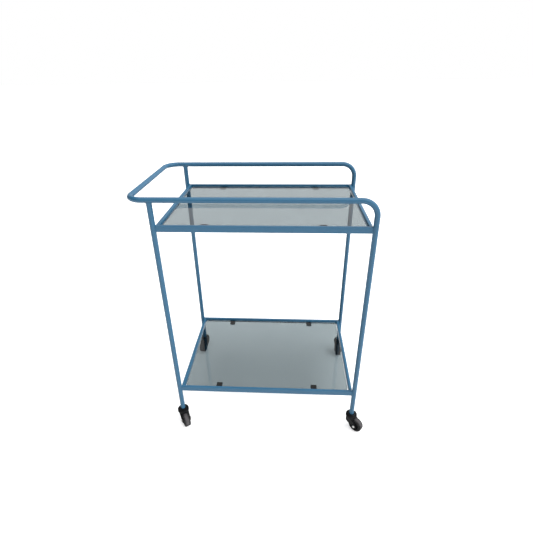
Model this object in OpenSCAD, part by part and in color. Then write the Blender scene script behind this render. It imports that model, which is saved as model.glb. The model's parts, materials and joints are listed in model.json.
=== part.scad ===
// Two-tier serving cart of bent steel tube, with two loose glass shelves and four swivel casters.
//
// One long tube is bent into the push rail, the handle crossbar and both right legs. The two left
// legs are straight tubes, saddled and welded under the rail. Each shelf is a mitred frame of
// rectangular tube welded between the legs, with four padded tabs that a glass pane rests on.
//
// The origin is on the floor under the middle of the cart's overall box. +Z is up, +X runs away
// from the handle crossbar, and +Y runs to the rear side.

/* [Cart] */
// Distance between the left and right leg centres
leg_span_x = 620; // [450:1:900]
// Distance between the front and rear leg centres
leg_span_y = 414; // [320:1:600]
// Height of the push rail's centreline above the floor
rail_height = 866; // [700:1:1100]
// Distance from the left leg centres out to the handle crossbar's centreline
handle_reach = 65; // [65:1:150]

/* [Tube] */
// Outer diameter of the rail and leg tube
tube_d = 16; // [13:0.1:22]
// Wall thickness of the rail and leg tube
tube_wall = 1.2; // [0.8:0.1:2]
// Centreline radius of the tube bends
bend_r = 45; // [30:1:50]
// How far below the rail's centreline the left legs' saddles end
saddle_drop = 3; // [2:0.5:5]

/* [Shelf frames] */
// How far the upper frame's top edge is below the push rail's centreline
upper_frame_drop = 74; // [60:1:300]
// Height of the lower frame's top edge above the floor
lower_frame_top = 175; // [110:1:300]
// Width of the shelf bars, seen from above
bar_w = 10; // [8:0.1:20]
// Height of the shelf bars
bar_h = 19; // [15:0.1:30]
// Wall thickness of the shelf bars
bar_wall = 1.2; // [0.8:0.1:1.5]
// Radius of the shelf bars' long edges
bar_edge_r = 1.5; // [0.5:0.1:3]
// How deep the frame ends are coped around the legs
cope_depth = 1; // [0.5:0.1:3]
// How far the frame's long sides stand outside the leg centres
frame_overhang = 4; // [0:0.5:6]

/* [Glass] */
// Thickness of the glass panes
glass_t = 5; // [4:0.5:6]
// Depth of the glass top below the frame's top edge
glass_recess = 6; // [4:0.5:10]
// Gap between the glass edge and the shelf bars
glass_gap = 3; // [1:0.5:6]
// Radius of the glass corners
glass_corner_r = 12; // [3:1:30]
// Bevel ground on the glass edges
glass_bevel = 0.5; // [0.2:0.1:1]

/* [Glass supports] */
// Distance of the tabs from the middle of the shelf
tab_offset = 170; // [60:1:200]
// Width of the tabs
tab_w = 22; // [14:1:40]
// How far the tabs reach in from the shelf bars
tab_reach = 28; // [14:1:40]
// Thickness of the tabs
tab_t = 2; // [1.5:0.1:3]
// Radius of the tab corners
tab_corner_r = 3; // [1:0.5:6]
// Thickness of the rubber pads
pad_t = 1.5; // [1:0.1:3]
// Margin of bare tab around each pad
pad_margin = 1; // [0.5:0.5:3]
// Diameter of the dimple in each pad
pad_dimple_d = 8; // [3:0.5:9]
// Depth of the dimple in each pad
pad_dimple_depth = 0.6; // [0.2:0.1:0.8]

/* [Caster wheel] */
// Diameter of the wheels over the tyre
wheel_d = 50; // [40:1:75]
// Width of the tyre
wheel_w = 22; // [16:0.5:30]
// Thickness of the tyre's tread
tread_t = 6; // [3:0.5:8]
// Radius of the tyre's shoulders
shoulder_r = 4; // [1:0.5:5]
// Depth of the two grooves around the tread
groove_depth = 0.8; // [0.3:0.1:1.5]
// Width of the two grooves around the tread
groove_w = 1.2; // [0.6:0.1:2]
// Distance from the swivel axis back to the axle
caster_trail = 22; // [17:0.5:32]
// Diameter of the axle bolt
axle_d = 6; // [5:0.5:8]
// Wall thickness of the plastic bush in the hub
bush_wall = 2; // [1:0.5:3]

/* [Caster fork] */
// Diameter of the swivel head
head_d = 40; // [32:1:50]
// Height of the swivel head
head_h = 10; // [8:0.5:16]
// Thickness of each fork arm at the axle
arm_t = 3.8; // [3:0.1:6]
// Diameter of the fork's boss around the axle
boss_d = 18; // [15:1:24]
// Side gap between the tyre and a fork arm
side_gap = 0.7; // [0.5:0.1:2]
// Gap between the tyre and the fork's roof
roof_gap = 2; // [1:0.5:5]
// Thickness of the fork's roof under the swivel head
roof_t = 2.2; // [1:0.1:5]
// Diameter of the caster stem
stem_d = 8; // [6:0.1:10]
// How far the stem reaches up into the leg
stem_reach = 38; // [20:1:60]
// Diameter of the stem's rivet head
rivet_d = 13; // [10:0.5:15]
// Height of the stem's rivet head
rivet_h = 2.4; // [1.5:0.1:4]
// Diameter of the washer that the swivel turns under
washer_d = 26; // [20:1:32]
// Thickness of the swivel washer
washer_t = 1.5; // [1:0.1:3]
// How far the socket's flange stands out past the leg tube
flange_rim = 1.5; // [0.5:0.1:4]
// Thickness of the socket's flange
flange_t = 2; // [1:0.5:4]
// Diameter of the axle bolt's head
bolt_head_d = 9; // [8:0.5:15]
// Height of the axle bolt's head
bolt_head_h = 2.6; // [2:0.1:5]
// Width of the axle nut across its corners
nut_d = 11; // [9:0.5:14]
// Height of the axle nut
nut_h = 3.5; // [3:0.5:6]

/* [Fits] */
// Radial clearance of a part that turns on its shaft
running_clearance = 0.05; // [0.02:0.01:0.1]
// Gap along an axis between parts that turn past each other
end_gap = 0.3; // [0.2:0.05:0.5]

/* [Rest position] */
// Rest angle of the front left caster's trail, counted from +X
front_left_rest = -59; // [-180:1:180]
// Rest angle of the front right caster's trail
front_right_rest = -41; // [-180:1:180]
// Rest angle of the rear left caster's trail
rear_left_rest = -102; // [-180:1:180]
// Rest angle of the rear right caster's trail
rear_right_rest = -94; // [-180:1:180]

/* [Hidden] */
$fn = 64;
hull_fn = 32; // facets of the round shapes inside a hull
over = 1; // how far a cutting shape runs past the piece it cuts

BARS = ["front_bar", "rear_bar", "left_bar", "right_bar"];
SHELVES = ["upper", "lower"];
CORNERS = ["front_left", "front_right", "rear_left", "rear_right"];
CASTER_PIECES = [
    "stem_socket", "stem", "swivel_washer", "fork", "axle_bolt", "axle_nut", "hub", "tyre", "bush"
];

// Sides of the corners and the trail's rest angles, in the order of CORNERS
CORNER_SIDES = [[-1, -1], [1, -1], [-1, 1], [1, 1]];
CORNER_REST = [front_left_rest, front_right_rest, rear_left_rest, rear_right_rest];

flange_d = tube_d + 2 * flange_rim; // the socket's flange under the leg

// Caster heights, from the floor up to the end of the leg tube
axle_z = wheel_d / 2;
well_r = wheel_d / 2 + roof_gap;
roof_z = axle_z + well_r;
head_z = roof_z + roof_t;
head_top = head_z + head_h;
washer_top = head_top + washer_t;
flange_z = washer_top + end_gap;
leg_end_z = flange_z + flange_t;

// Fork and axle widths, along the axle
fork_gap = wheel_w + 2 * side_gap;
fork_w = fork_gap + 2 * arm_t;
spot_face_d = max(bolt_head_d, nut_d) + 1; // flat cut round each end of the axle, for head and nut
bush_w = fork_gap - 2 * end_gap;
bush_d = axle_d + 2 * running_clearance + 2 * bush_wall;
rim_d = wheel_d - 2 * tread_t;

// Shelf frames, outside the legs' inner faces by the depth of the copes
upper_frame_top = rail_height - upper_frame_drop;
frame_x = leg_span_x - tube_d + 2 * cope_depth;
frame_y = leg_span_y + 2 * frame_overhang;
glass_x = frame_x - 2 * bar_w - 2 * glass_gap;
glass_y = min(frame_y - 2 * bar_w - 2 * glass_gap, leg_span_y - tube_d - 2);
tab_drop = glass_recess + glass_t + pad_t; // from the frame's top edge down to the tabs

// How far a caster at a rest angle stands out from its leg in a direction
function caster_reach(rest, direction) = let (turn = direction - rest) max(
    head_d / 2,
    caster_trail * cos(turn) + wheel_d / 2 * abs(cos(turn)) + wheel_w / 2 * abs(sin(turn))
);
reach_right = max(caster_reach(front_right_rest, 0), caster_reach(rear_right_rest, 0));
reach_front = max(caster_reach(front_left_rest, -90), caster_reach(front_right_rest, -90));
reach_rear = max(caster_reach(rear_left_rest, 90), caster_reach(rear_right_rest, 90));

// The middle of the four legs, which the handle and the casters put off the middle of the box
mid_x = (handle_reach + tube_d / 2 - reach_right) / 2;
mid_y = (reach_front - reach_rear) / 2;

blue = "#4e7d9e";
black = "#1d1f22";
smoke = [0.36, 0.39, 0.4, 0.5];
zinc = "#b8bcc0";

// ---- Shared shapes ----

// A rectangle with round corners
module rounded_rectangle(size, r) {
    square([size.x - 2 * r, size.y], center = true);
    square([size.x, size.y - 2 * r], center = true);
    for (x = [-1, 1], y = [-1, 1])
        translate([x * (size.x / 2 - r), y * (size.y / 2 - r)]) circle(r = r);
}

// A tube bend of a quarter turn in the XY plane, from +X round to +Y about the origin
module bend(d) {
    rotate_extrude(angle = 90) translate([bend_r, 0]) circle(d = d);
}

// A round dome of a given diameter and height on the XY plane
module dome(d, h) {
    r = (d * d / 4 + h * h) / (2 * h);
    intersection() {
        translate([0, 0, h - r]) sphere(r = r);
        cylinder(d = d + over, h = h + over);
    }
}

module at_leg(side) {
    translate([side.x * leg_span_x / 2, side.y * leg_span_y / 2, 0]) children();
}

// The cart's middle put over the origin
module placed() {
    translate([mid_x, mid_y, 0]) children();
}

// ---- Rail and legs ----

// The rail's straight runs and bends at one diameter, with the legs run on below their ends
module rail_path(d, run_on) {
    run_x = leg_span_x + handle_reach - 2 * bend_r;
    far_x = leg_span_x / 2 - bend_r;
    near_x = far_x - run_x;
    half_y = leg_span_y / 2;
    for (y = [-1, 1]) {
        translate([leg_span_x / 2, y * half_y, leg_end_z - run_on])
            cylinder(d = d, h = rail_height - bend_r - leg_end_z + run_on);
        translate([far_x, y * half_y, rail_height - bend_r]) rotate([90, 0, 0]) bend(d);
        translate([near_x, y * half_y, rail_height]) rotate([0, 90, 0]) cylinder(d = d, h = run_x);
        translate([near_x, y * (half_y - bend_r), rail_height])
            mirror([0, y < 0 ? 1 : 0, 0]) rotate(90) bend(d);
    }
    translate([near_x - bend_r, bend_r - half_y, rail_height])
        rotate([-90, 0, 0]) cylinder(d = d, h = leg_span_y - 2 * bend_r);
}

// One tube: right front leg, front rail, handle crossbar, rear rail, right rear leg
module push_rail() {
    color(blue) difference() {
        rail_path(tube_d, 0);
        rail_path(tube_d - 2 * tube_wall, over);
    }
}

// A straight leg, saddled to the underside of the rail
module left_leg(side_y) {
    color(blue) at_leg([-1, side_y]) difference() {
        translate([0, 0, leg_end_z]) cylinder(d = tube_d, h = rail_height - saddle_drop - leg_end_z);
        translate([0, 0, leg_end_z - over])
            cylinder(d = tube_d - 2 * tube_wall, h = rail_height - leg_end_z + over);
        translate([-tube_d, 0, rail_height]) rotate([0, 90, 0]) cylinder(d = tube_d, h = 2 * tube_d);
    }
}

// ---- Shelf frames ----

// A hollow bar along X with its outer side on Y = 0, mitred at both ends, its top on Z = 0
module mitred_bar(length) {
    inner = [bar_w - 2 * bar_wall, bar_h - 2 * bar_wall];
    intersection() {
        translate([-length / 2, bar_w / 2, -bar_h / 2]) rotate([90, 0, 90])
            linear_extrude(length) difference() {
                rounded_rectangle([bar_w, bar_h], bar_edge_r);
                square(inner, center = true);
            }
        translate([0, 0, -bar_h - over]) linear_extrude(bar_h + 2 * over) polygon([
            [-length / 2, 0],
            [length / 2, 0],
            [length / 2 - bar_w - over, bar_w + over],
            [bar_w + over - length / 2, bar_w + over]
        ]);
    }
}

// One bar of a shelf frame: the sides along X are at y, and those along Y are at x
module shelf_bar(top, side) {
    color(blue) difference() {
        translate([side.x * frame_x / 2, side.y * frame_y / 2, top])
            rotate(side.y == 0 ? -90 * side.x + 180 : side.y < 0 ? 0 : 180)
                mitred_bar(side.y == 0 ? frame_y : frame_x);
        for (corner = CORNER_SIDES)
            at_leg(corner) translate([0, 0, top - bar_h - over]) cylinder(d = tube_d, h = bar_h + 2 * over);
    }
}

// ---- Glass and its supports ----

// Puts a child at each of a shelf's four tabs, with +Y pointing in from the bar
module at_tabs(top) {
    for (x = [-1, 1], y = [-1, 1])
        translate([x * tab_offset, y * (frame_y / 2 - bar_w), top - tab_drop]) rotate(y < 0 ? 0 : 180)
            children();
}

// Steel tabs welded to the inner faces of the long bars
module tabs(top) {
    color(blue) at_tabs(top) translate([0, 0, -tab_t]) linear_extrude(tab_t) {
        translate([0, tab_reach / 2]) rounded_rectangle([tab_w, tab_reach], tab_corner_r);
        translate([-tab_w / 2, 0]) square([tab_w, tab_reach / 2]);
    }
}

// Rubber pads stuck on the tabs
module pads(top) {
    size = [tab_w - 2 * pad_margin, tab_reach - 2 * pad_margin];
    color(black) at_tabs(top) translate([0, tab_reach / 2, 0]) difference() {
        linear_extrude(pad_t) rounded_rectangle(size, tab_corner_r - pad_margin / 2);
        translate([0, 0, pad_t - pad_dimple_depth]) cylinder(d = pad_dimple_d, h = pad_t);
    }
}

// A pane with round corners and a ground bevel, drawn as three stacked slabs
module glass(top) {
    shrink = 2 * glass_bevel;
    color(smoke) translate([0, 0, top - glass_recess - glass_t]) {
        linear_extrude(glass_t)
            rounded_rectangle([glass_x - shrink, glass_y - shrink], glass_corner_r - glass_bevel);
        translate([0, 0, glass_bevel]) linear_extrude(glass_t - shrink)
            rounded_rectangle([glass_x, glass_y], glass_corner_r);
    }
}

// ---- Casters, drawn on the swivel axis with the trail along +X and the axle along Y ----

// Plastic insert pressed into the leg, with a flange over the tube's end
module stem_socket() {
    socket_top = leg_end_z + stem_reach;
    color(black) difference() {
        union() {
            translate([0, 0, flange_z]) cylinder(d = flange_d, h = flange_t);
            translate([0, 0, leg_end_z]) cylinder(d = tube_d - 2 * tube_wall, h = stem_reach);
        }
        translate([0, 0, flange_z - over]) cylinder(d = stem_d, h = socket_top);
    }
}

// Steel stem, riveted over inside the fork
module stem() {
    rivet_top = roof_z - end_gap;
    color(zinc) {
        translate([0, 0, rivet_top]) cylinder(d = stem_d, h = leg_end_z + stem_reach - rivet_top);
        translate([0, 0, rivet_top]) mirror([0, 0, 1]) dome(rivet_d, rivet_h);
    }
}

// Washer that rides on the fork and turns round the stem
module swivel_washer() {
    color("#8f9396") translate([0, 0, head_top]) difference() {
        cylinder(d = washer_d, h = washer_t);
        translate([0, 0, -over]) cylinder(d = stem_d + 2 * running_clearance, h = washer_t + 2 * over);
    }
}

// Moulded fork: a round head that tapers down to a boss on each side of the wheel
module fork() {
    color(black) difference() {
        union() {
            translate([0, 0, head_z]) cylinder(d = head_d, h = head_h);
            hull() {
                translate([0, 0, head_z]) cylinder(d = head_d - 1, h = head_h / 2, $fn = hull_fn);
                translate([caster_trail, 0, axle_z]) rotate([90, 0, 0])
                    cylinder(d = boss_d, h = fork_w, center = true, $fn = hull_fn);
            }
        }
        translate([caster_trail, 0, axle_z]) rotate([90, 0, 0]) {
            cylinder(r = well_r, h = fork_gap, center = true);
            cylinder(d = axle_d, h = 2 * fork_w, center = true);
            for (side = [0, 1])
                mirror([0, 0, side]) translate([0, 0, fork_w / 2]) cylinder(d = spot_face_d, h = head_d);
        }
        translate([0, 0, axle_z]) cylinder(d = stem_d + 2 * running_clearance, h = head_top);
        translate([0, 0, axle_z]) cylinder(d = rivet_d + 2 * end_gap, h = roof_z - axle_z);
    }
}

// Axle bolt with a domed head against the fork's -Y side
module axle_bolt() {
    color(zinc) translate([caster_trail, -fork_w / 2, axle_z]) rotate([-90, 0, 0]) {
        cylinder(d = axle_d, h = fork_w + nut_h);
        mirror([0, 0, 1]) dome(bolt_head_d, bolt_head_h);
    }
}

// Hexagon nut on the fork's +Y side
module axle_nut() {
    color(zinc) translate([caster_trail, fork_w / 2, axle_z]) rotate([-90, 0, 0]) difference() {
        cylinder(d = nut_d, h = nut_h, $fn = 6);
        translate([0, 0, -over]) cylinder(d = axle_d, h = nut_h + 2 * over);
    }
}

// Puts a profile drawn as radius and width round the axle
module round_axle() {
    translate([caster_trail, 0, axle_z]) rotate([90, 0, 0]) rotate_extrude() children();
}

// Plastic wheel centre: a boss, a dished web and a rim
module hub() {
    web_w = wheel_w * 0.6;
    boss_r = bush_d / 2 + 3;
    rim_t = 3;
    color(black) round_axle() polygon([
        [bush_d / 2, -wheel_w / 2],
        [boss_r, -wheel_w / 2],
        [boss_r + 1, -web_w / 2],
        [rim_d / 2 - rim_t - 1, -web_w / 2],
        [rim_d / 2 - rim_t, 0.5 - wheel_w / 2],
        [rim_d / 2, 0.5 - wheel_w / 2],
        [rim_d / 2, wheel_w / 2 - 0.5],
        [rim_d / 2 - rim_t, wheel_w / 2 - 0.5],
        [rim_d / 2 - rim_t - 1, web_w / 2],
        [boss_r + 1, web_w / 2],
        [boss_r, wheel_w / 2],
        [bush_d / 2, wheel_w / 2]
    ]);
}

// Rubber tyre with round shoulders and two grooves
module tyre() {
    color("#6f7072") round_axle() difference() {
        translate([rim_d / 2, 0]) difference() {
            rounded_rectangle([2 * tread_t, wheel_w], shoulder_r);
            translate([-2 * tread_t, -wheel_w]) square([2 * tread_t, 2 * wheel_w]);
        }
        for (y = [-1, 1])
            translate([wheel_d / 2 - groove_depth, y * wheel_w / 5 - groove_w / 2]) square([over, groove_w]);
    }
}

// Plastic bush pressed into the hub, which turns on the axle bolt
module bush() {
    color("#c9c7c0") round_axle() translate([axle_d / 2 + running_clearance, -bush_w / 2])
        square([bush_wall, bush_w]);
}

// ---- The cart ----

placed() push_rail();
placed() left_leg(-1);  // front_left_leg
placed() left_leg(1);  // rear_left_leg

for (shelf = SHELVES) {
    top = shelf == "upper" ? upper_frame_top : lower_frame_top;
    placed() shelf_bar(top, [0, -1]);
    placed() shelf_bar(top, [0, 1]);
    placed() shelf_bar(top, [-1, 0]);
    placed() shelf_bar(top, [1, 0]);
    placed() tabs(top);
    placed() pads(top);
    placed() glass(top);
}

for (i = [0 : 3]) placed() at_leg(CORNER_SIDES[i]) rotate(CORNER_REST[i]) {
    name = CORNERS[i];
    stem_socket();
    stem();
    swivel_washer();
    fork();
    axle_bolt();
    axle_nut();
    hub();
    tyre();
    bush();
}
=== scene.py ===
"""Serving cart of bent blue steel tube, with two smoked glass shelves and four swivel casters.

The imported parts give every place. Each finished piece is a surface worked out here, in metres, round
the part that it replaces, so its object sits at the origin with its place in its mesh. Caster pieces
are drawn once, on the swivel axis with the trail along +X and the axle along Y, and then put under
each leg.
"""

import json
import math

import bpy
import numpy as np
from mathutils import Matrix, Vector


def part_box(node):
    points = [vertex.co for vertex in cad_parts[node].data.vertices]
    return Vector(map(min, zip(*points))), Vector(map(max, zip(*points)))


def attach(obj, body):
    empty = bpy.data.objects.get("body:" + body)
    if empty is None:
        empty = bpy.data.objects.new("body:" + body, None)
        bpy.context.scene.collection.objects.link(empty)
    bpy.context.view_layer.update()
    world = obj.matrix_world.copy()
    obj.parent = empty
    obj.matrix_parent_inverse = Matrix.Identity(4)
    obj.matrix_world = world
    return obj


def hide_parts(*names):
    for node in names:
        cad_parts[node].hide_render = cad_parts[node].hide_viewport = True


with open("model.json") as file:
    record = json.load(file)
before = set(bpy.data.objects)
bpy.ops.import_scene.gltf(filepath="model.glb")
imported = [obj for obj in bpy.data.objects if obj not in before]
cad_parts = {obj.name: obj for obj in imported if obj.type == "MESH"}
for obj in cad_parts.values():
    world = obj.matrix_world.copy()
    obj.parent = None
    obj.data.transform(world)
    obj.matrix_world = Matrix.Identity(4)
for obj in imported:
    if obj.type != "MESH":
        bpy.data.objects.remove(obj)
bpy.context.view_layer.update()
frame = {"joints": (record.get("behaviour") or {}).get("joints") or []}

MM = 0.001
CORNERS = ("front_left", "front_right", "rear_left", "rear_right")
joints = {joint["name"]: joint for joint in frame["joints"]}

# ---- Sizes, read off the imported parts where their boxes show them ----


def span(node):
    """Lowest and highest corners of a part, as arrays."""
    low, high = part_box(node)
    return np.array(low), np.array(high)


LEGS = {corner: np.array(joints[corner + "_swivel_turn"]["pos_m"][:2]) for corner in CORNERS}
AXLES = {corner: np.array(joints[corner + "_wheel_roll"]["pos_m"]) for corner in CORNERS}
leg_low, leg_high = span("front_left_leg")
rail_low, rail_high = span("push_rail")
tyre_low, tyre_high = span("front_left_tyre")
fork_low, fork_high = span("front_left_fork")
washer_low, washer_high = span("front_left_swivel_washer")
socket_low, socket_high = span("front_left_stem_socket")
stem_low, stem_high = span("front_left_stem")

TUBE_R = (leg_high[0] - leg_low[0]) / 2
TUBE_WALL = 1.2 * MM
BEND_R = 45 * MM
RAIL_Z = rail_high[2] - TUBE_R
LEG_END_Z = leg_low[2]
SADDLE_DROP = RAIL_Z - leg_high[2]

AXLE_Z = AXLES["front_left"][2]
TRAIL = float(np.linalg.norm(AXLES["front_left"][:2] - LEGS["front_left"]))
WHEEL_R = (tyre_high[2] - tyre_low[2]) / 2
WHEEL_HALF_W = 11 * MM
RIM_R = WHEEL_R - 6 * MM
AXLE_R = 3 * MM
BUSH_R = 5.05 * MM
FORK_HALF_W = 15.5 * MM
NUT_DEPTH = 3.5 * MM
GAP_HALF_W = WHEEL_HALF_W + 0.7 * MM
WELL_R = WHEEL_R + 2 * MM
BOSS_R = AXLE_Z - fork_low[2]
HEAD_R = 20 * MM
HEAD_TOP = fork_high[2]
HEAD_Z = HEAD_TOP - 10 * MM
ROOF_Z = AXLE_Z + WELL_R
STEM_R = 4 * MM
RIVET_R = (stem_high[0] - stem_low[0]) / 2

# ---- Grids, outlines and closed shells ----


def faces_of(rows, columns, ring):
    """Four-sided faces of a grid stored row after row and joined round its columns, and round its
    rows as well if it is a ring."""
    row = np.arange(rows if ring else rows - 1)[:, None]
    column = np.arange(columns)[None, :]
    after = (column + 1) % columns
    below = (row + 1) % rows * columns
    corners = (row * columns + column, row * columns + after, below + after, below + column)
    return np.stack(corners, axis=-1).reshape(-1, 4)


def closed(points, *groups):
    """A closed shell whose faces point outwards: they are turned round where the sum of
    a . (b x c) over their triangles, six times the enclosed volume, comes out negative."""
    volume = 0.0
    for faces in groups:
        for k in range(1, faces.shape[1] - 1):
            a, b, c = (points[faces[:, i]] for i in (0, k, k + 1))
            volume += float(np.sum(a * np.cross(b, c)))
    if volume < 0:
        groups = [faces[:, ::-1] for faces in groups]
    return points, [face for faces in groups for face in faces.tolist()]


def ring(grid):
    """Shell of a grid of points that closes on itself both ways, as a tyre does."""
    rows, columns = grid.shape[:2]
    return closed(grid.reshape(-1, 3), faces_of(rows, columns, True))


def capped(grid):
    """Shell of a grid of points round its columns, with each end closed by a fan to its middle."""
    rows, columns = grid.shape[:2]
    points = np.concatenate((grid.reshape(-1, 3), grid[[0, -1]].mean(axis=1)))
    here = np.arange(columns)
    after = (here + 1) % columns
    last = (rows - 1) * columns
    first_fan = np.stack((after, here, np.full(columns, rows * columns)), axis=-1)
    last_fan = np.stack((last + here, last + after, np.full(columns, rows * columns + 1)), axis=-1)
    return closed(points, faces_of(rows, columns, False), first_fan, last_fan)


def circle(count, radius=1.0):
    """Points of a circle: radius (cos t, sin t)."""
    t = np.arange(count) * 2 * np.pi / count
    return radius * np.stack((np.cos(t), np.sin(t)), axis=-1)


def rounded_rectangle(width, depth, radius, steps=6):
    """Outline of a rectangle with round corners: a quarter circle, radius (cos t, sin t), about the
    middle of each corner in turn."""
    t = np.arange(4)[:, None] * np.pi / 2 + np.linspace(0, np.pi / 2, steps + 1)
    x = np.array([1, -1, -1, 1])[:, None] * (width / 2 - radius) + radius * np.cos(t)
    y = np.array([1, 1, -1, -1])[:, None] * (depth / 2 - radius) + radius * np.sin(t)
    return np.stack((x, y), axis=-1).reshape(-1, 2)


def filleted(corners, radii, steps=4):
    """Closed outline with an arc at each corner: middle + (sin((1-s) f) e1 + sin(s f) e2) / sin f, s
    from 0 to 1, where f is the corner's turn and e1 and e2 go from the arc's middle to its ends."""
    corner = np.array(corners, float)
    radii = np.broadcast_to(np.asarray(radii, float), len(corner))[:, None]
    back = np.roll(corner, 1, axis=0) - corner
    ahead = np.roll(corner, -1, axis=0) - corner
    back /= np.linalg.norm(back, axis=1, keepdims=True)
    ahead /= np.linalg.norm(ahead, axis=1, keepdims=True)
    half = np.arccos(np.clip(np.sum(back * ahead, axis=1, keepdims=True), -1, 1)) / 2
    bisector = back + ahead
    middle = corner + bisector / np.linalg.norm(bisector, axis=1, keepdims=True) * radii / np.sin(half)
    e1 = (corner + back * radii / np.tan(half) - middle)[:, None]
    e2 = (corner + ahead * radii / np.tan(half) - middle)[:, None]
    turn = (np.pi - 2 * half)[:, None]
    s = np.linspace(0, 1, steps + 1)[None, :, None]
    arcs = middle[:, None] + (np.sin((1 - s) * turn) * e1 + np.sin(s * turn) * e2) / np.sin(turn)
    return arcs.reshape(-1, 2)


def turned(outline, count=64):
    """Grid of an outline of (radius, height) points turned about Z: (r cos t, r sin t, h)."""
    outline = np.asarray(outline, float)
    around = circle(count)
    flat = outline[:, None, :1] * around[None]
    height = np.broadcast_to(outline[:, None, 1:], (len(outline), count, 1))
    return np.concatenate((flat, height), axis=-1)


def on_axle(grid):
    """A grid turned about Z, laid over so that its axis is the wheel's axle."""
    x, y, z = np.moveaxis(grid, -1, 0)
    return np.stack((x + TRAIL, z, y + AXLE_Z), axis=-1)


def stacked(outlines, heights):
    """Grid of flat outlines with the same number of points, each at its height."""
    outlines = np.asarray(outlines, float)
    height = np.broadcast_to(np.asarray(heights, float)[:, None, None], outlines.shape[:2] + (1,))
    return np.concatenate((outlines, height), axis=-1)


def carried(path, side, up, profile):
    """Grid of a profile's points (a, b) carried along a path: path + a side + b up."""
    return path[:, None] + profile[..., :1] * side[:, None] + profile[..., 1:] * up[:, None]


def moulded(distance, low, high, cell):
    """Closed surface where a signed distance is zero. Each grid cell that it crosses holds one point,
    the mean of the crossings on the cell's edges, each crossed grid edge becomes a face between its
    four cells, and the points are then pulled on to the surface: p - d g / |g|^2, g being the slope."""
    axes = [np.arange(a, b + cell, cell) for a, b in zip(low, high)]
    grid = np.stack(np.meshgrid(*axes, indexing="ij"), axis=-1)
    value = distance(grid)
    cells = tuple(n - 1 for n in value.shape)
    total = np.zeros(cells + (3,))
    count = np.zeros(cells)
    crossed_edges = []
    for axis in range(3):
        a, b = (axis + 1) % 3, (axis + 2) % 3
        before = np.moveaxis(value, (axis, a, b), (0, 1, 2))
        start = np.moveaxis(grid, (axis, a, b), (0, 1, 2))[:-1].copy()
        inside, outside = before[:-1], before[1:]
        crossed = (inside < 0) != (outside < 0)
        share = np.where(crossed, inside / np.where(crossed, inside - outside, 1), 0)
        start[..., axis] += share * cell
        start[~crossed] = 0
        sums = np.moveaxis(total, (axis, a, b), (0, 1, 2))
        counts = np.moveaxis(count, (axis, a, b), (0, 1, 2))
        for i in (0, 1):
            for j in (0, 1):
                window = (slice(None), slice(i, i + sums.shape[1]), slice(j, j + sums.shape[2]))
                sums += start[window]
                counts += crossed[window]
        crossed_edges.append((crossed, inside < 0))
    number = np.full(cells, -1)
    number[count > 0] = np.arange(np.count_nonzero(count))
    faces = []
    for axis, (crossed, leaves) in enumerate(crossed_edges):
        index = np.moveaxis(number, (axis, (axis + 1) % 3, (axis + 2) % 3), (0, 1, 2))
        k, i, j = np.nonzero(crossed)
        four = (index[k, i - 1, j - 1], index[k, i, j - 1], index[k, i, j], index[k, i - 1, j])
        quad = np.stack(four, axis=-1)
        turn = ~leaves[k, i, j]
        quad[turn] = quad[turn][:, ::-1]
        faces.append(quad)
    points = total[count > 0] / count[count > 0][:, None]
    step = 0.01 * cell
    for _ in range(3):
        rises = [distance(points + step * e) - distance(points - step * e) for e in np.eye(3)]
        slope = np.stack(rises, axis=-1) / (2 * step)
        away = distance(points)[:, None] * slope / np.sum(slope * slope, axis=-1, keepdims=True)
        points = points - np.clip(away, -cell, cell)
    return closed(points, np.concatenate(faces))


def piece(name, shells, finishes, body, slot, *replaced):
    """One finished object made of closed shells, which rides on a body and stands for some parts."""
    points, faces = [], []
    for shell_points, shell_faces in shells:
        first = sum(len(p) for p in points)
        points.append(shell_points)
        faces.extend([[corner + first for corner in face] for face in shell_faces])
    mesh = bpy.data.meshes.new(name)
    mesh.from_pydata(np.concatenate(points).tolist(), [], faces)
    mesh.shade_smooth()
    mesh.set_sharp_from_angle(angle=math.radians(32))
    for finish in finishes:
        mesh.materials.append(finish)
    made = bpy.data.objects.new(name, mesh)
    bpy.context.scene.collection.objects.link(made)
    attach(made, body)
    if replaced:
        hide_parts(*replaced)
    return made


# ---- Shader arithmetic ----


class Value:
    """A shader socket in Python arithmetic: an operator adds the Math node that works it out."""

    def __init__(self, shader, socket):
        self.shader = shader
        self.socket = socket

    def math(self, operation, first, second):
        return self.shader.node("ShaderNodeMath", {"operation": operation}, {0: first, 1: second})

    def __add__(self, other):
        return self.math("ADD", self, other)

    def __radd__(self, other):
        return self.math("ADD", other, self)

    def __sub__(self, other):
        return self.math("SUBTRACT", self, other)

    def __rsub__(self, other):
        return self.math("SUBTRACT", other, self)

    def __mul__(self, other):
        return self.math("MULTIPLY", self, other)

    def __rmul__(self, other):
        return self.math("MULTIPLY", other, self)


class Shader:
    """A node tree written as Python expressions."""

    def __init__(self, tree):
        self.tree = tree
        tree.nodes.clear()

    def node(self, kind, settings=None, sockets=None, output=0):
        """Adds a node of a type: its settings first, then the value or link of each socket."""
        made = self.tree.nodes.new(kind)
        for name, setting in (settings or {}).items():
            setattr(made, name, setting)
        for key, value in (sockets or {}).items():
            if isinstance(value, Value):
                self.tree.links.new(value.socket, made.inputs[key])
            else:
                made.inputs[key].default_value = value
        return Value(self, made.outputs[output]) if made.outputs else None

    def step(self, value, low, high):
        """Goes smoothly from 0 to 1 as a value goes from low to high."""
        return self.node(
            "ShaderNodeMapRange",
            {"interpolation_type": "SMOOTHSTEP"},
            {"Value": value, "From Min": low, "From Max": high},
        )


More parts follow.
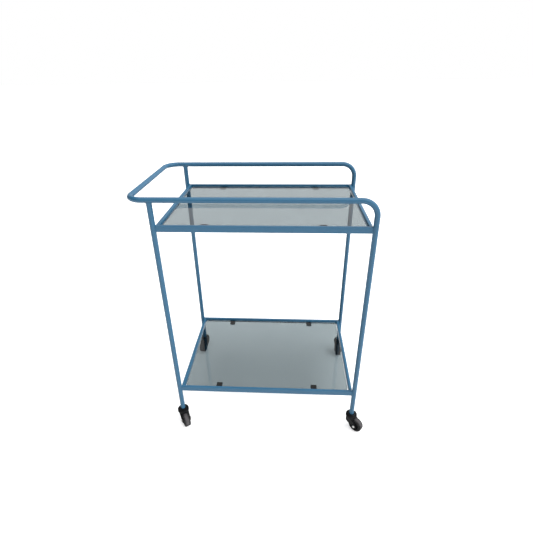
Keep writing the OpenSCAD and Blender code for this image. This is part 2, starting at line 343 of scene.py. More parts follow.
class Finish(Shader):
    """A material whose patterns lie on Object coordinates, in metres."""

    def __init__(self, name):
        self.material = bpy.data.materials.new(name)
        self.material.use_nodes = True
        super().__init__(self.material.node_tree)
        self.place = self.node("ShaderNodeTexCoord", output="Object")

    def cloud(self, size, detail=2.0):
        """Smooth random pattern about 0.5, in patches of about a size."""
        return self.node(
            "ShaderNodeTexNoise", {}, {"Vector": self.place, "Scale": 1 / size, "Detail": detail}
        )

    def tint(self, share, first, second):
        """Colour that goes from a first to a second by a share."""
        return self.node(
            "ShaderNodeMix", {"data_type": "RGBA"}, {0: share, 6: first, 7: second}, output=2
        )

    def relief(self, height, depth):
        """Normal of a surface raised by a height pattern times a depth."""
        return self.node("ShaderNodeBump", {}, {"Strength": 1.0, "Distance": depth, "Height": height})

    def principled(self, sockets):
        return self.node("ShaderNodeBsdfPrincipled", {}, sockets)

    def made(self, surface):
        """The material with a surface shader on it."""
        self.node("ShaderNodeOutputMaterial", {}, {"Surface": surface})
        return self.material


def rgb(red, green, blue):
    return (red, green, blue, 1.0)


# ---- Finishes ----

GLASS_INDEX = 1.5
SHADOW_DEPTH = 0.02  # power of the glass's tint that colours its shadow


def powder_coat():
    """Satin blue powder coat: orange-peel relief about a millimetre across, slow drifts of shade, and
    a slightly glossier film where it is thicker."""
    finish = Finish("blue_powder_coat")
    drift = finish.cloud(0.12)
    peel = finish.cloud(1.3 * MM, 3.0)
    speck = finish.cloud(0.45 * MM)
    shade = finish.tint(drift, rgb(0.021, 0.117, 0.222), rgb(0.028, 0.135, 0.246))
    fleck = finish.step(speck, 0.60, 0.75) * 0.12
    return finish.made(finish.principled({
        "Base Color": finish.tint(fleck, shade, rgb(0.10, 0.25, 0.38)),
        "Roughness": 0.31 + 0.10 * peel + 0.06 * drift,
        "Normal": finish.relief(peel, 0.035 * MM),
        "IOR": 1.5,
        "Specular IOR Level": 0.58,
    }))


def smoked_glass(name, tint, low_roughness, spread, wave, depth):
    """Grey glass: clear faces with faint wiping marks and a slow waviness, or ground edges with a fine
    frost. A shadow ray passes it as a plain tint, so the light beneath stays soft and even."""
    finish = Finish(name)
    marks = finish.cloud(0.035, 4.0)
    waves = finish.cloud(wave, 2.0)
    pane = finish.principled({
        "Base Color": rgb(*tint),
        "Roughness": low_roughness + spread * finish.step(marks, 0.45, 0.75),
        "Normal": finish.relief(waves, depth),
        "IOR": GLASS_INDEX,
        "Transmission Weight": 1.0,
    })
    faint = rgb(*(part ** SHADOW_DEPTH for part in tint))
    shade = finish.node("ShaderNodeBsdfTransparent", {}, {"Color": faint})
    shadow = finish.node("ShaderNodeLightPath", output="Is Shadow Ray")
    return finish.made(finish.node("ShaderNodeMixShader", {}, {0: shadow, 1: pane, 2: shade}))


def moulding(name, colour, worn, roughness, grain, depth):
    """Moulded plastic or rubber: a fine etched grain, with duller, worn patches from handling."""
    finish = Finish(name)
    etch = finish.cloud(grain, 2.0)
    haze = finish.cloud(9 * MM, 3.0)
    return finish.made(finish.principled({
        "Base Color": finish.tint(finish.step(haze, 0.40, 0.75), rgb(*colour), rgb(*worn)),
        "Roughness": roughness + 0.14 * haze + 0.05 * etch,
        "Normal": finish.relief(etch, depth),
        "Specular IOR Level": 0.15,
    }))


def tyre_rubber():
    """Grey rubber: paler and smoother in the middle of the tread where it runs, and darker to the
    sides, where the darkening is painted shade; with mould marks and a little dust."""
    finish = Finish("tyre_rubber")
    across = finish.node("ShaderNodeAttribute", {"attribute_name": "across"}, output="Fac")
    grain = finish.cloud(0.6 * MM)
    dust = finish.cloud(7 * MM, 4.0)
    # Painted shade: the colour goes from the rubber's grey in the middle of the tread to nearly black
    # on its sides.
    side = finish.step(across + 0.10 * dust, 0.30, 0.92)
    shade = finish.tint(side, rgb(0.088, 0.083, 0.088), rgb(0.006, 0.006, 0.007))
    return finish.made(finish.principled({
        "Base Color": finish.tint(0.12 * finish.step(dust, 0.45, 0.7), shade, rgb(0.26, 0.25, 0.24)),
        "Roughness": 0.62 + 0.18 * dust - 0.08 * side,
        "Normal": finish.relief(grain, 0.03 * MM),
        "Specular IOR Level": 0.25,
    }))


def plated_steel(name, colour, roughness):
    """Plated steel: fine turning marks, and slow drifts between bright and milky plate."""
    finish = Finish(name)
    milk = finish.cloud(4 * MM, 3.0)
    marks = finish.cloud(0.25 * MM)
    return finish.made(finish.principled({
        "Base Color": finish.tint(milk, rgb(*colour), rgb(*(0.86 * c for c in colour))),
        "Roughness": roughness + 0.16 * milk + 0.05 * marks,
        "Normal": finish.relief(marks, 0.008 * MM),
        "Metallic": 1.0,
    }))


PAINT = powder_coat()
GLASS = smoked_glass(
    "smoked_glass", (0.207, 0.246, 0.258),
    low_roughness=0.0, spread=0.02, wave=40 * MM, depth=0.004 * MM,
)
GLASS_EDGE = smoked_glass(
    "ground_glass_edge", (0.22, 0.27, 0.28),
    low_roughness=0.28, spread=0.15, wave=0.9 * MM, depth=0.02 * MM,
)
PAD_RUBBER = moulding(
    "pad_rubber", (0.012, 0.013, 0.014), (0.026, 0.027, 0.029),
    roughness=0.60, grain=0.7 * MM, depth=0.03 * MM,
)
FORK_NYLON = moulding(
    "fork_plastic", (0.0030, 0.0034, 0.0042), (0.007, 0.0078, 0.0095),
    roughness=0.36, grain=0.45 * MM, depth=0.018 * MM,
)
HUB_PLASTIC = moulding(
    "hub_plastic", (0.0030, 0.0032, 0.0040), (0.006, 0.0065, 0.008),
    roughness=0.30, grain=0.6 * MM, depth=0.012 * MM,
)
SOCKET_PLASTIC = moulding(
    "socket_plastic", (0.006, 0.0065, 0.0075), (0.012, 0.0125, 0.014),
    roughness=0.42, grain=0.5 * MM, depth=0.015 * MM,
)
ACETAL = moulding(
    "bush_plastic", (0.62, 0.60, 0.54), (0.52, 0.50, 0.45),
    roughness=0.34, grain=0.5 * MM, depth=0.010 * MM,
)
TYRE_RUBBER = tyre_rubber()
ZINC = plated_steel("zinc_steel", (0.82, 0.81, 0.79), roughness=0.20)
WASHER_STEEL = plated_steel("washer_steel", (0.035, 0.037, 0.041), roughness=0.40)

# ---- Push rail and legs ----


def bent_path(corners, radius, steps):
    """Path through corner points, with each square corner turned on an arc: middle + radius (sin a d1
    - cos a d2), d1 and d2 being the headings before and after it. A side vector turns with the path.
    Returns the path's points, side vectors and up vectors."""
    corners = np.array(corners, float)
    headings = np.diff(corners, axis=0)
    headings /= np.linalg.norm(headings, axis=1, keepdims=True)
    a = np.linspace(0, np.pi / 2, steps + 1)[:, None]
    side = np.array([0.0, 1.0, 0.0])
    points, sides = [corners[:1]], [side[None]]
    for corner, d1, d2 in zip(corners[1:-1], headings[:-1], headings[1:]):
        middle = corner - radius * d1 + radius * d2
        across = np.cross(d1, d2)
        inward = np.dot(side, d2)
        points.append(middle + radius * (np.sin(a) * d1 - np.cos(a) * d2))
        sides.append(inward * (np.cos(a) * d2 - np.sin(a) * d1) + np.dot(side, across) * across)
        side = sides[-1][-1]
    points = np.concatenate(points + [corners[-1:]])
    sides = np.concatenate(sides + [side[None]])
    ahead = np.gradient(points, axis=0)
    ups = np.cross(ahead, sides)
    return points, sides, ups / np.linalg.norm(ups, axis=1, keepdims=True)


def tube_grid(path, side, up, radius, sides=48):
    """Grid round a tube: path + radius (cos t side + sin t up)."""
    return carried(path, side, up, np.broadcast_to(circle(sides, radius), (len(path), sides, 2)))


def push_rail():
    """One hollow tube through both right legs, both rails and the handle crossbar."""
    right, handle = rail_high[0] - TUBE_R, rail_low[0] + TUBE_R
    front, rear = rail_low[1] + TUBE_R, rail_high[1] - TUBE_R
    path, side, up = bent_path([
        (right, front, LEG_END_Z),
        (right, front, RAIL_Z),
        (handle, front, RAIL_Z),
        (handle, rear, RAIL_Z),
        (right, rear, RAIL_Z),
        (right, rear, LEG_END_Z),
    ], BEND_R, steps=28)
    outer = tube_grid(path, side, up, TUBE_R)
    inner = tube_grid(path, side, up, TUBE_R - TUBE_WALL)
    return ring(np.concatenate((outer, inner[::-1])))


def left_leg(corner):
    """Hollow tube whose top is saddled to the rail: z = rail - max(R |cos t|, drop)."""
    around = circle(64)
    ease = 0.25 * MM
    top = RAIL_Z - np.maximum(TUBE_R * np.abs(around[:, 0]), SADDLE_DROP)
    rows = []
    for radius, height in (
        (TUBE_R - ease, LEG_END_Z),
        (TUBE_R, LEG_END_Z + ease),
        (TUBE_R, top),
        (TUBE_R - TUBE_WALL, top),
        (TUBE_R - TUBE_WALL, LEG_END_Z + ease),
        (TUBE_R - TUBE_WALL + ease, LEG_END_Z),
    ):
        flat = LEGS[corner] + radius * around
        rows.append(np.column_stack((flat, np.broadcast_to(height, len(flat)))))
    return ring(np.array(rows))


# ---- Welds ----

WELD_PITCH = 1.7 * MM
WELD_POINTS = 160


def bead(path, outward, radius):
    """Painted weld bead along a closed path: a round profile carried along it, whose radius swells
    and shrinks by a tenth once in each pitch of the run."""
    ahead = np.roll(path, -1, axis=0) - np.roll(path, 1, axis=0)
    ahead /= np.linalg.norm(ahead, axis=1, keepdims=True)
    side = np.cross(ahead, outward)
    side /= np.linalg.norm(side, axis=1, keepdims=True)
    run = np.cumsum(np.linalg.norm(np.roll(path, -1, axis=0) - path, axis=1))
    swell = 1 + 0.1 * np.sin(2 * np.pi * round(run[-1] / WELD_PITCH) * run / run[-1])
    profile = circle(10)[None] * (radius * swell)[:, None, None]
    return ring(carried(path, np.cross(side, ahead), side, profile))


def frame_weld(corner, low, high, frame_x, frame_y):
    """Bead round a shelf frame's end, laid on the leg: a rounded rectangle wrapped on the leg's
    cylinder, between the angles where the frame's two outer faces meet it."""
    leg = LEGS[corner]
    inward_x = -np.sign(leg[0] - (frame_x[0] + frame_x[1]) / 2)
    inward_y = -np.sign(leg[1] - (frame_y[0] + frame_y[1]) / 2)
    outer_y = frame_y[0] if inward_y > 0 else frame_y[1]
    outer_x = frame_x[0] if inward_x > 0 else frame_x[1]
    from_angle = -math.asin(abs(outer_y - leg[1]) / TUBE_R)
    to_angle = math.acos(abs(outer_x - leg[0]) / TUBE_R)
    arc = (to_angle - from_angle) * TUBE_R
    corner_r, bead_r = 2.5 * MM, 1.1 * MM
    outline = rounded_rectangle(arc, high - low, corner_r, steps=12)
    loop = np.concatenate((outline, outline[:1]))
    length = np.concatenate(([0], np.cumsum(np.linalg.norm(np.diff(loop, axis=0), axis=1))))
    run = np.linspace(0, length[-1], WELD_POINTS, endpoint=False)
    across = np.interp(run, length, loop[:, 0])
    rise = np.interp(run, length, loop[:, 1])
    angle = (from_angle + to_angle) / 2 + across / TUBE_R
    outward = np.stack((inward_x * np.cos(angle), inward_y * np.sin(angle), 0 * angle), axis=-1)
    middle = np.array([leg[0], leg[1], (low + high) / 2])
    path = middle + TUBE_R * outward + rise[:, None] * np.array([0, 0, 1])
    return bead(path, outward, np.full(len(path), bead_r))


def saddle_weld(corner):
    """Bead where a left leg meets the rail: z = rail - hypot(R cos t, drop), with a radius of
    0.55 + 0.75 |cos t| mm, so that it is fuller in the two crotches along the rail."""
    t = np.linspace(0, 2 * np.pi, WELD_POINTS, endpoint=False)
    outward = np.stack((np.cos(t), np.sin(t), 0 * t), axis=-1)
    height = RAIL_Z - np.hypot(TUBE_R * np.cos(t), SADDLE_DROP)
    path = np.column_stack((LEGS[corner] + TUBE_R * outward[:, :2], height))
    return bead(path, outward, (0.55 + 0.75 * np.abs(np.cos(t))) * MM)


def tab_weld(middle, width):
    """Short fillet bead under a tab, on a narrow closed loop along the bar."""
    height, corner_r, bead_r = 1.0 * MM, 0.45 * MM, 0.8 * MM
    outline = rounded_rectangle(width, height, corner_r, steps=10)
    path = middle + np.insert(outline, 1, 0, axis=1)
    outward = np.broadcast_to(np.array([0.0, 1.0, 0.0]), path.shape)
    return bead(path, outward, np.full(len(path), bead_r))


# ---- Shelves ----

TAB_W = 22 * MM
TAB_REACH = 28 * MM
PAD_MARGIN = 1 * MM


def mitred_bar(outward, half_reach, length, middle, width, low, high):
    """Rounded bar along one side of a shelf frame, its ends cut at 45 degrees: a point that is y in
    from the outer face ends at length / 2 - y. The cut's rim is eased, which leaves a fine seam."""
    outward = np.array(outward, float)
    along = np.array([-outward[1], outward[0]])
    corner_r = 1.5 * MM
    eased = np.array([(0.30, 0.0), (0.12, 0.06), (0.0, 0.25)]) * MM
    rows = []
    for side in (-1, 1):
        for inset, back in eased if side < 0 else eased[::-1]:
            outline = rounded_rectangle(width - 2 * inset, high - low - 2 * inset, corner_r - inset)
            y = outline[:, 0] + width / 2
            x = side * (length / 2 - y - back)
            flat = middle + outward * (half_reach - y)[:, None] + along * x[:, None]
            rows.append(np.column_stack((flat, outline[:, 1] + (low + high) / 2)))
    return capped(np.array(rows))


def tab(middle, low, top, inward):
    """Flat steel tab with round outer corners and eased edges, its root sunk a little in the bar."""
    corner_r, sunk = 3 * MM, 0.2 * MM
    eased = np.array([(0.5, 0), (0.15, 0.15), (0, 0.5)]) * MM
    edges = [(inset, low + rise) for inset, rise in eased]
    edges += [(inset, top - rise) for inset, rise in eased[::-1]]
    rows = []
    for inset, _ in edges:
        outline = rounded_rectangle(TAB_W - 2 * inset, 2 * TAB_REACH - 2 * inset, corner_r - inset)
        outline[:, 1] = np.maximum(outline[:, 1], -sunk)
        rows.append(middle + outline * np.array([1, inward]))
    return capped(stacked(rows, [height for _, height in edges]))


def pad(middle, low, high):
    """Round-cornered rubber pad: softly rounded top edge and a dished dimple in its middle."""
    width, depth = TAB_W - 2 * PAD_MARGIN, TAB_REACH - 2 * PAD_MARGIN
    corner_r = 2.5 * MM
    insets = np.array([0.25, 0, 0, 0.12, 0.45, 0.9]) * MM
    rows = [rounded_rectangle(width - 2 * i, depth - 2 * i, corner_r - i, steps=9) for i in insets]
    heights = [low, low + 0.25 * MM, high - 0.6 * MM, high - 0.25 * MM, high - 0.06 * MM, high]
    rim = rows[-1] / np.linalg.norm(rows[-1], axis=1, keepdims=True)
    for radius, sunk in np.array([(4.4, 0.0), (4.0, 0.10), (3.6, 0.42), (3.1, 0.6)]) * MM:
        rows.append(rim * radius)
        heights.append(high - sunk)
    return capped(stacked([middle + row for row in rows], heights))


def pane(node):
    """Glass pane with round corners and flat-ground edges, each arris taken off at 45 degrees."""
    low, high = span(node)
    middle = (low + high)[:2] / 2
    corner_r, arris = 12 * MM, 0.5 * MM
    rows, heights = [], []
    for inset, height in ((arris, low[2]), (0, low[2] + arris), (0, high[2] - arris), (arris, high[2])):
        size = high[:2] - low[:2] - 2 * inset
        rows.append(middle + rounded_rectangle(*size, corner_r - inset, steps=16))
        heights.append(height)
    return capped(stacked(rows, heights))


def shelf(name):
    """One shelf: four mitred bars, four tabs with pads, and the loose pane on them."""
    front_low, front_high = span(name + "_front_bar")
    rear_high = span(name + "_rear_bar")[1]
    left_low = span(name + "_left_bar")[0]
    right_high = span(name + "_right_bar")[1]
    frame_x = (left_low[0], right_high[0])
    frame_y = (front_low[1], rear_high[1])
    low, high = front_low[2], front_high[2]
    width = front_high[1] - front_low[1]
    middle = np.array([sum(frame_x) / 2, sum(frame_y) / 2])
    half = np.array([frame_x[1] - frame_x[0], frame_y[1] - frame_y[0]]) / 2
    for side, outward in (("front", (0, -1)), ("rear", (0, 1)), ("left", (-1, 0)), ("right", (1, 0))):
        reach, length = (half[1], 2 * half[0]) if outward[0] == 0 else (half[0], 2 * half[1])
        node = f"{name}_{side}_bar"
        shell = mitred_bar(outward, reach, length, middle, width, low, high)
        piece("painted_" + node, [shell], [PAINT], "cart_frame", "blue_powder_coat", node)

    tabs_low, tabs_high = span(name + "_tabs")
    pads_low, pads_high = span(name + "_pads")
    offset = (tabs_high[0] - tabs_low[0] - TAB_W) / 2
    tabs, pads, welds = [], [], []
    for x in (-1, 1):
        for inward in (1, -1):
            root = middle + np.array([x * offset, -inward * (half[1] - width)])
            tabs.append(tab(root, tabs_low[2], tabs_high[2], inward))
            centre = root + np.array([0, inward * TAB_REACH / 2])
            pads.append(pad(centre, pads_low[2], pads_high[2]))
            fillet = np.array([root[0], root[1] + inward * 0.1 * MM, tabs_low[2] - 0.3 * MM])
            welds.append(tab_weld(fillet, TAB_W - 4 * MM))
    welds += [frame_weld(corner, low, high, frame_x, frame_y) for corner in CORNERS]
    piece(name + "_support_tabs", tabs, [PAINT], "cart_frame", "blue_powder_coat", name + "_tabs")
    piece(name + "_rubber_pads", pads, [PAD_RUBBER], "cart_frame", "pad_rubber", name + "_pads")
    piece(name + "_frame_welds", welds, [PAINT], "cart_frame", "blue_powder_coat")

    node = name + "_glass"
    glass = piece(
        name + "_pane", [pane(node)], [GLASS, GLASS_EDGE], name + "_glass_pane", "smoked_glass", node
    )
    normals = np.zeros(3 * len(glass.data.polygons))
    glass.data.polygons.foreach_get("normal", normals)
    on_edge = np.abs(normals.reshape(-1, 3)[:, 2]) < 0.9
    glass.data.polygons.foreach_set("material_index", on_edge.astype(np.int32))


# ---- Caster pieces ----


def round_edge(first, second, radius):
    """Inside both of two distances, with the edge between them rounded:
    min(max(a, b), -r) + hypot(max(a + r, 0), max(b + r, 0))."""
    curve = np.hypot(np.maximum(first + radius, 0), np.maximum(second + radius, 0))
    return np.minimum(np.maximum(first, second), -radius) + curve


def round_corner(first, second, radius):
    """Inside either of two distances, with the inner corner between them filled."""
    return -round_edge(-first, -second, radius)


def tapered_bar(x, z, a, b, radius_a, radius_b):
    """Distance to the flat shape of two circles and their common tangents: along u from a to b,
    the tangent leans by (ra - rb) / |b - a|."""
    length = math.hypot(b[0] - a[0], b[1] - a[1])
    u = ((b[0] - a[0]) / length, (b[1] - a[1]) / length)
    along = (x - a[0]) * u[0] + (z - a[1]) * u[1]
    across = np.abs((z - a[1]) * u[0] - (x - a[0]) * u[1])
    lean = (radius_a - radius_b) / length
    rise = math.sqrt(1 - lean * lean)
    place = along * rise - across * lean
    near_a = np.hypot(across, along) - radius_a
    near_b = np.hypot(across, along - length) - radius_b
    between = across * rise + along * lean - radius_a
    return np.where(place < 0, near_a, np.where(place > rise * length, near_b, between))


def fork_distance(points):
    """Moulded fork: a round head with a gently coned top, and two arms that narrow to a boss at the
    axle, cut by the wheel's well. A shallow panel is sunk in each arm, and the stem's hole, the
    rivet's pocket and the axle's hole go through it."""
    flat_r, cone_slope = 13.5 * MM, 0.22
    shoulder, shoulder_r = (1.5 * MM, 45 * MM), 15.5 * MM
    spread_from, spread = AXLE_Z + 4 * MM, 2.8 * MM
    panel_depth, panel_rim, boss_r, panel_top = 0.55 * MM, 2.9 * MM, 7.2 * MM, HEAD_Z - 3.5 * MM
    arm_top = HEAD_Z + 5 * MM

    x, y, z = np.moveaxis(points, -1, 0)
    from_stem = np.hypot(x, y)
    from_axle = np.hypot(x - TRAIL, z - AXLE_Z)
    top = z - HEAD_TOP + cone_slope * np.maximum(from_stem - flat_r, 0)
    head = round_edge(round_edge(from_stem - HEAD_R, top, 1.6 * MM), HEAD_Z - z, 0.8 * MM)
    arm = tapered_bar(x, z, (TRAIL, AXLE_Z), shoulder, BOSS_R, shoulder_r)
    lift = np.clip((z - spread_from) / (HEAD_Z - spread_from), 0, 1)
    face = np.abs(y) - FORK_HALF_W - spread * lift * lift
    body = round_edge(arm, face, (1.6 + 11 * lift * lift) * MM)
    body = np.maximum(body, z - arm_top)
    solid = round_corner(head, body, 2.2 * MM)
    panel = np.maximum(-face - panel_depth, np.maximum(arm + panel_rim, boss_r - from_axle))
    solid = round_edge(solid, -np.maximum(panel, z - panel_top), 0.25 * MM)
    well = round_edge(from_axle - WELL_R, np.abs(y) - GAP_HALF_W, 1.0 * MM)
    solid = round_edge(solid, -well, 0.7 * MM)
    pocket = np.maximum(from_stem - RIVET_R - 0.3 * MM, z - ROOF_Z)
    bore = np.minimum(np.minimum(from_stem - STEM_R - 0.05 * MM, pocket), from_axle - AXLE_R)
    return np.maximum(solid, -bore)


def fork():
    """The fork's surface, meshed in the box that it fills."""
    margin, cell = 0.8 * MM, 0.6 * MM
    low = (-HEAD_R - margin, -HEAD_R - margin, AXLE_Z - BOSS_R - margin)
    high = (TRAIL + BOSS_R + margin, HEAD_R + margin, HEAD_TOP + margin)
    return moulded(fork_distance, low, high, cell)


def hexagon(count, corner_radius):
    """Distance to a hexagon's edge at equal angles t: R cos 30 / cos(t mod 60 - 30)."""
    t = np.arange(count) * 2 * np.pi / count
    return corner_radius * np.cos(np.pi / 6) / np.cos(np.mod(t, np.pi / 3) - np.pi / 6)


def tyre():
    """Rubber tread with round shoulders and two grooves, turned about the axle."""
    groove_low, groove_high, floor = 3.8 * MM, 5.0 * MM, WHEEL_R - 0.8 * MM
    half = [
        (RIM_R, WHEEL_HALF_W), (WHEEL_R, WHEEL_HALF_W), (WHEEL_R, groove_high), (floor, groove_high),
        (floor, groove_low), (WHEEL_R, groove_low),
    ]
    bead_r, shoulder_r, groove_r = 0.3 * MM, 4 * MM, 0.22 * MM
    radii = [bead_r, shoulder_r] + 4 * [groove_r]
    outline = half + [(r, -h) for r, h in half[::-1]]
    return turned(filleted(outline, radii + radii[::-1], steps=6), 120)


def hub():
    """Wheel centre: a boss round the bush, a dished web and a rim, with eight ribs on each side."""
    boss, rim, web = BUSH_R + 3 * MM, RIM_R - 3 * MM, 6.6 * MM
    rim_end, draft = WHEEL_HALF_W - 0.5 * MM, 1 * MM
    half = [
        (BUSH_R, WHEEL_HALF_W), (boss, WHEEL_HALF_W), (boss + draft, web), (rim - draft, web),
        (rim, rim_end), (RIM_R, rim_end),
    ]
    outline = half + [(r, -h) for r, h in half[::-1]]
    shells = [ring(on_axle(turned(filleted(outline, 0.45 * MM), 96)))]
    rib_length, rib_height, rib_middle, rib_r = rim - boss + draft, 4.4 * MM, 7.2 * MM, 0.7 * MM
    insets = np.array([0.35, 0.1, 0, 0, 0.1, 0.35]) * MM
    places = np.array([-0.8, -0.7, -0.45, 0.45, 0.7, 0.8]) * MM
    for side in (-1, 1):
        for turn in np.arange(8) * np.pi / 4:
            rows = []
            for inset, across in zip(insets, places):
                outline = rounded_rectangle(rib_length - 2 * inset, rib_height - 2 * inset, rib_r)
                radius = outline[:, 0] + (rim + boss) / 2
                height = side * (outline[:, 1] + rib_middle)
                x = TRAIL + radius * np.cos(turn) - across * np.sin(turn)
                z = AXLE_Z + radius * np.sin(turn) + across * np.cos(turn)
                rows.append(np.stack((x, height, z), axis=-1))
            shells.append(capped(np.array(rows)))
    return shells


def bush():
    """Plain sleeve in the hub, a little longer than the wheel is wide."""
    half = WHEEL_HALF_W + 0.4 * MM
    inner = AXLE_R + 0.05 * MM
    outline = [(inner, -half), (BUSH_R, -half), (BUSH_R, half), (inner, half)]
    return turned(filleted(outline, 0.3 * MM), 64)


def axle_bolt():
    """Bolt with a domed head and a hexagon socket: rings run from the shank's end, round the head
    and down into the socket, and the ring at the socket's rim goes from a circle to a hexagon."""
    count = 72
    end, chamfer = FORK_HALF_W + NUT_DEPTH, 0.5 * MM
    head_r, head_h, rim_h, dome_r = 4.5 * MM, 2.6 * MM, 0.6 * MM, 2.9 * MM
    socket_r, socket_depth = 2.3 * MM, 1.5 * MM
    s = np.linspace(0, 1, 9)
    dome_h = rim_h + (head_h - rim_h) * np.sin(s * np.pi / 2)
    rings = [(AXLE_R - chamfer, end), (AXLE_R, end - chamfer), (AXLE_R, -FORK_HALF_W)]
    rings += [(head_r - 0.2 * MM, -FORK_HALF_W), (head_r, -FORK_HALF_W - 0.15 * MM)]
    rings += list(zip(head_r - (head_r - dome_r) * s, -FORK_HALF_W - dome_h))
    grid = turned(rings, count)
    socket = hexagon(count, socket_r)[:, None] * circle(count)
    top = -FORK_HALF_W - head_h
    rows = stacked([1.04 * socket, socket, 0.97 * socket], [top, top + 0.15 * MM, top + socket_depth])
    return capped(on_axle(np.concatenate((grid, rows))))


def axle_nut():
    """Hexagon nut whose corners are cut by a cone at both ends: r = min(hexagon, cone)."""
    count = 72
    around = circle(count)
    corner_r, cone_r, cone_slope = 5.5 * MM, 5.0 * MM, 1.4
    mouth_r, mouth_h = AXLE_R + 0.45 * MM, 0.3 * MM
    rise = np.array([0, 0.12, 0.25, 0.4]) * MM
    hexagonal = hexagon(count, corner_r)
    rows, heights = [], []
    for height in np.concatenate((rise, NUT_DEPTH - rise[::-1])):
        cone = cone_r + cone_slope * min(height, NUT_DEPTH - height)
        rows.append(np.minimum(hexagonal, cone)[:, None] * around)
        heights.append(FORK_HALF_W + height)
    bore = [(mouth_r, NUT_DEPTH), (AXLE_R, NUT_DEPTH - mouth_h), (AXLE_R, mouth_h), (mouth_r, 0)]
    for radius, height in bore:
        rows.append(radius * around)
        heights.append(FORK_HALF_W + height)
    return ring(on_axle(stacked(rows, heights)))


def stem():
    """Steel stem with a domed rivet head inside the fork: the dome is (R sin a, neck - h cos a)."""
    low, top = stem_low[2], stem_high[2]
    neck, chamfer = ROOF_Z - 0.3 * MM, 0.6 * MM
    a = np.linspace(0.06, np.pi / 2, 8)
    dome = list(zip(RIVET_R * np.sin(a), neck - (neck - low) * np.cos(a)))
    shank = [(STEM_R, neck), (STEM_R, top - chamfer), (STEM_R - chamfer, top)]
    return turned(dome + shank, 48)


def stem_socket():
    """Insert in the leg's end, with a flange that shows beneath the tube."""
    flange_r = (socket_high[0] - socket_low[0]) / 2
    low, top, body_r = socket_low[2], socket_high[2], TUBE_R - TUBE_WALL
    outline = [
        (STEM_R, low), (flange_r, low), (flange_r, LEG_END_Z), (body_r, LEG_END_Z), (body_r, top),
        (STEM_R, top),
    ]
    return turned(filleted(outline, np.array([0.3, 0.8, 0.5, 0.2, 0.6, 0.3]) * MM), 64)


def swivel_washer():
    """Flat collar between the leg's insert and the fork's head, with a rounder upper edge."""
    radius, bore = (washer_high[0] - washer_low[0]) / 2, STEM_R + 0.05 * MM
    low, top = washer_low[2], washer_high[2]
    outline = [(bore, low), (radius, low), (radius, top), (bore, top)]
    return turned(filleted(outline, np.array([0.2, 0.3, 0.6, 0.3]) * MM), 64)


def casters():
    """The casters' pieces, each shape worked out once and put under every leg."""
    turned_tyre = on_axle(tyre())
    wanted = [
        ("fork", "moulded_fork", [fork()], FORK_NYLON, "swivel", "fork_plastic"),
        (
            "swivel_washer", "collar_washer", [ring(swivel_washer())], WASHER_STEEL, "swivel",
            "washer_steel",
        ),
        ("axle_bolt", "domed_bolt", [axle_bolt()], ZINC, "swivel", "zinc_steel"),
        ("axle_nut", "hexagon_nut", [axle_nut()], ZINC, "swivel", "zinc_steel"),
        ("hub", "wheel_centre", hub(), HUB_PLASTIC, "wheel", "hub_plastic"),
        ("tyre", "rubber_tread", [ring(turned_tyre)], TYRE_RUBBER, "wheel", "tyre_rubber"),
        ("bush", "axle_bush", [ring(on_axle(bush()))], ACETAL, "wheel", "bush_plastic"),
        ("stem", "rivet_stem", [capped(stem())], ZINC, None, "zinc_steel"),
        ("stem_socket", "leg_insert", [ring(stem_socket())], SOCKET_PLASTIC, None, "socket_plastic"),
    ]
    across = np.abs(turned_tyre[..., 1]).reshape(-1) / WHEEL_HALF_W
    for corner in CORNERS:
        leg = LEGS[corner]
        trail = (AXLES[corner][:2] - leg) / TRAIL
        axes = np.array([[trail[0], trail[1], 0], [-trail[1], trail[0], 0], [0, 0, 1]])
        for node, name, shells, finish, body, slot in wanted:
            placed = [(points @ axes + [leg[0], leg[1], 0], faces) for points, faces in shells]
            rides = f"{corner}_{body}" if body else "cart_frame"
            made = piece(f"{corner}_{name}", placed, [finish], rides, slot, f"{corner}_{node}")
            if node == "tyre":
                made.data.attributes.new("across", "FLOAT", "POINT").data.foreach_set("value", across)


# ---- Studio ----

# The lens and its sensor are in millimetres, as Blender takes them, and the camera's turns in radians.
LENS, SENSOR_W = 25.385, 36.0
CAMERA_PLACE = (0.0827, -1.1604, 1.1852)
CAMERA_YAW, CAMERA_PITCH, CAMERA_ROLL = -0.0604, 0.4925, 0.0159
FLOOR_REACH = 30
FLOOR_LIFT = 0.45
FILL_GLOW, BACK_GLOW, SIDE_GLOW, TOP_GLOW = 0.05, 0.68, 0.90, 1.75
BACKDROP_GLOW = 1.0


def look_along(yaw, pitch, roll):
    """Camera axes for a heading turned by yaw from +Y, tipped down by pitch and rolled."""
    level = np.array([math.cos(yaw), -math.sin(yaw), 0.0])
    forward = np.array([math.sin(yaw), math.cos(yaw), 0.0])
    ahead = math.cos(pitch) * forward - math.sin(pitch) * np.array([0.0, 0.0, 1.0])
    below = np.cross(ahead, level)
    right = math.cos(roll) * level + math.sin(roll) * below
    down = -math.sin(roll) * level + math.cos(roll) * below
    return Matrix(np.column_stack((right, -down, -ahead)).tolist())


def camera():
    made = bpy.data.objects.new("camera", bpy.data.cameras.new("camera"))
    made.data.lens = LENS
    made.data.sensor_width = SENSOR_W
    axes = look_along(CAMERA_YAW, CAMERA_PITCH, CAMERA_ROLL)
    made.matrix_world = Matrix.Translation(CAMERA_PLACE) @ axes.to_4x4()
    bpy.context.scene.collection.objects.link(made)
    bpy.context.scene.camera = made


def key_light(heading, width, strength):
    """Even light from one heading, as wide as a large softbox, so that its shadows are soft. Its disc
    isn't mirrored in the glass, where the surround is seen instead."""
    made = bpy.data.objects.new("key_light", bpy.data.lights.new("key_light", "SUN"))
    made.data.angle = width
    made.data.energy = strength
    made.rotation_euler = Vector(heading).to_track_quat("Z", "Y").to_euler()
    made.visible_glossy = False
    made.visible_transmission = False
    bpy.context.scene.collection.objects.link(made)


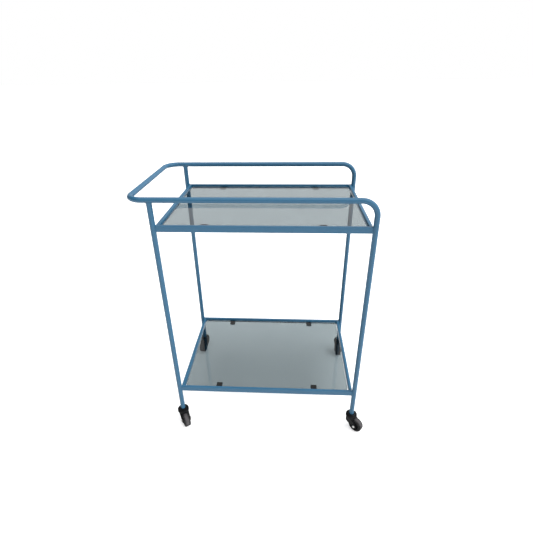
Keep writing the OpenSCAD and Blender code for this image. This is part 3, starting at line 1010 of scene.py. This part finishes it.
def studio():
    """Pale floor, lifted where it is looked at so that the cart's shadow on it is faint, one wide key
    light, and a soft surround: a white backcloth behind, a softbox to the right and lamps overhead."""
    floor_paint = Finish("pale_floor")
    grain = floor_paint.cloud(0.02, 3.0)
    pale = floor_paint.tint(grain, rgb(0.90, 0.90, 0.90), rgb(0.93, 0.93, 0.93))
    looked_at = floor_paint.node("ShaderNodeLightPath", output="Is Camera Ray")
    through_glass = floor_paint.node("ShaderNodeLightPath", output="Is Transmission Ray")
    lift = floor_paint.tint(looked_at + through_glass, rgb(0, 0, 0), rgb(1, 1, 1))
    finish = floor_paint.made(floor_paint.principled({
        "Base Color": pale,
        "Roughness": 0.9 + 0.05 * grain,
        "Emission Color": lift,
        "Emission Strength": FLOOR_LIFT,
    }))
    corners = [(x * FLOOR_REACH, y * FLOOR_REACH, 0) for x, y in ((-1, -1), (1, -1), (1, 1), (-1, 1))]
    mesh = bpy.data.meshes.new("floor")
    mesh.from_pydata(corners, [], [(0, 1, 2, 3)])
    mesh.materials.append(finish)
    floor = bpy.data.objects.new("floor", mesh)
    bpy.context.scene.collection.objects.link(floor)

    world = bpy.data.worlds.new("studio")
    world.use_nodes = True
    surround = Shader(world.node_tree)
    heading = surround.node("ShaderNodeTexCoord", output="Generated")
    x, y, z = (surround.node("ShaderNodeSeparateXYZ", {}, {0: heading}, output=axis) for axis in "XYZ")
    backcloth = surround.step(y, 0.28, 0.85)
    softbox = surround.step(x, 0.05, 0.85)
    overhead = surround.step(0.2 * x - 0.2 * y + 0.95 * z, 0.55, 0.92)
    glow = FILL_GLOW + BACK_GLOW * backcloth + SIDE_GLOW * softbox + TOP_GLOW * overhead
    soft = surround.node("ShaderNodeBackground", {}, {"Color": rgb(1, 1, 1), "Strength": glow})
    white = {"Color": rgb(1, 1, 1), "Strength": BACKDROP_GLOW}
    backdrop = surround.node("ShaderNodeBackground", {}, white)
    seen = surround.node("ShaderNodeLightPath", output="Is Camera Ray")
    shown = surround.node("ShaderNodeMixShader", {}, {0: seen, 1: soft, 2: backdrop})
    surround.node("ShaderNodeOutputWorld", {}, {"Surface": shown})
    bpy.context.scene.world = world
    bpy.context.scene.view_settings.view_transform = "Standard"
    key_light(heading=(0.66, -0.15, 0.74), width=math.radians(38), strength=1.3)


# ---- The cart ----

camera()
studio()
piece("painted_rail", [push_rail()], [PAINT], "cart_frame", "blue_powder_coat", "push_rail")
for corner in ("front_left", "rear_left"):
    node = corner + "_leg"
    piece("painted_" + node, [left_leg(corner)], [PAINT], "cart_frame", "blue_powder_coat", node)
saddles = [saddle_weld("front_left"), saddle_weld("rear_left")]
piece("saddle_welds", saddles, [PAINT], "cart_frame", "blue_powder_coat")
shelf("upper")
shelf("lower")
casters()
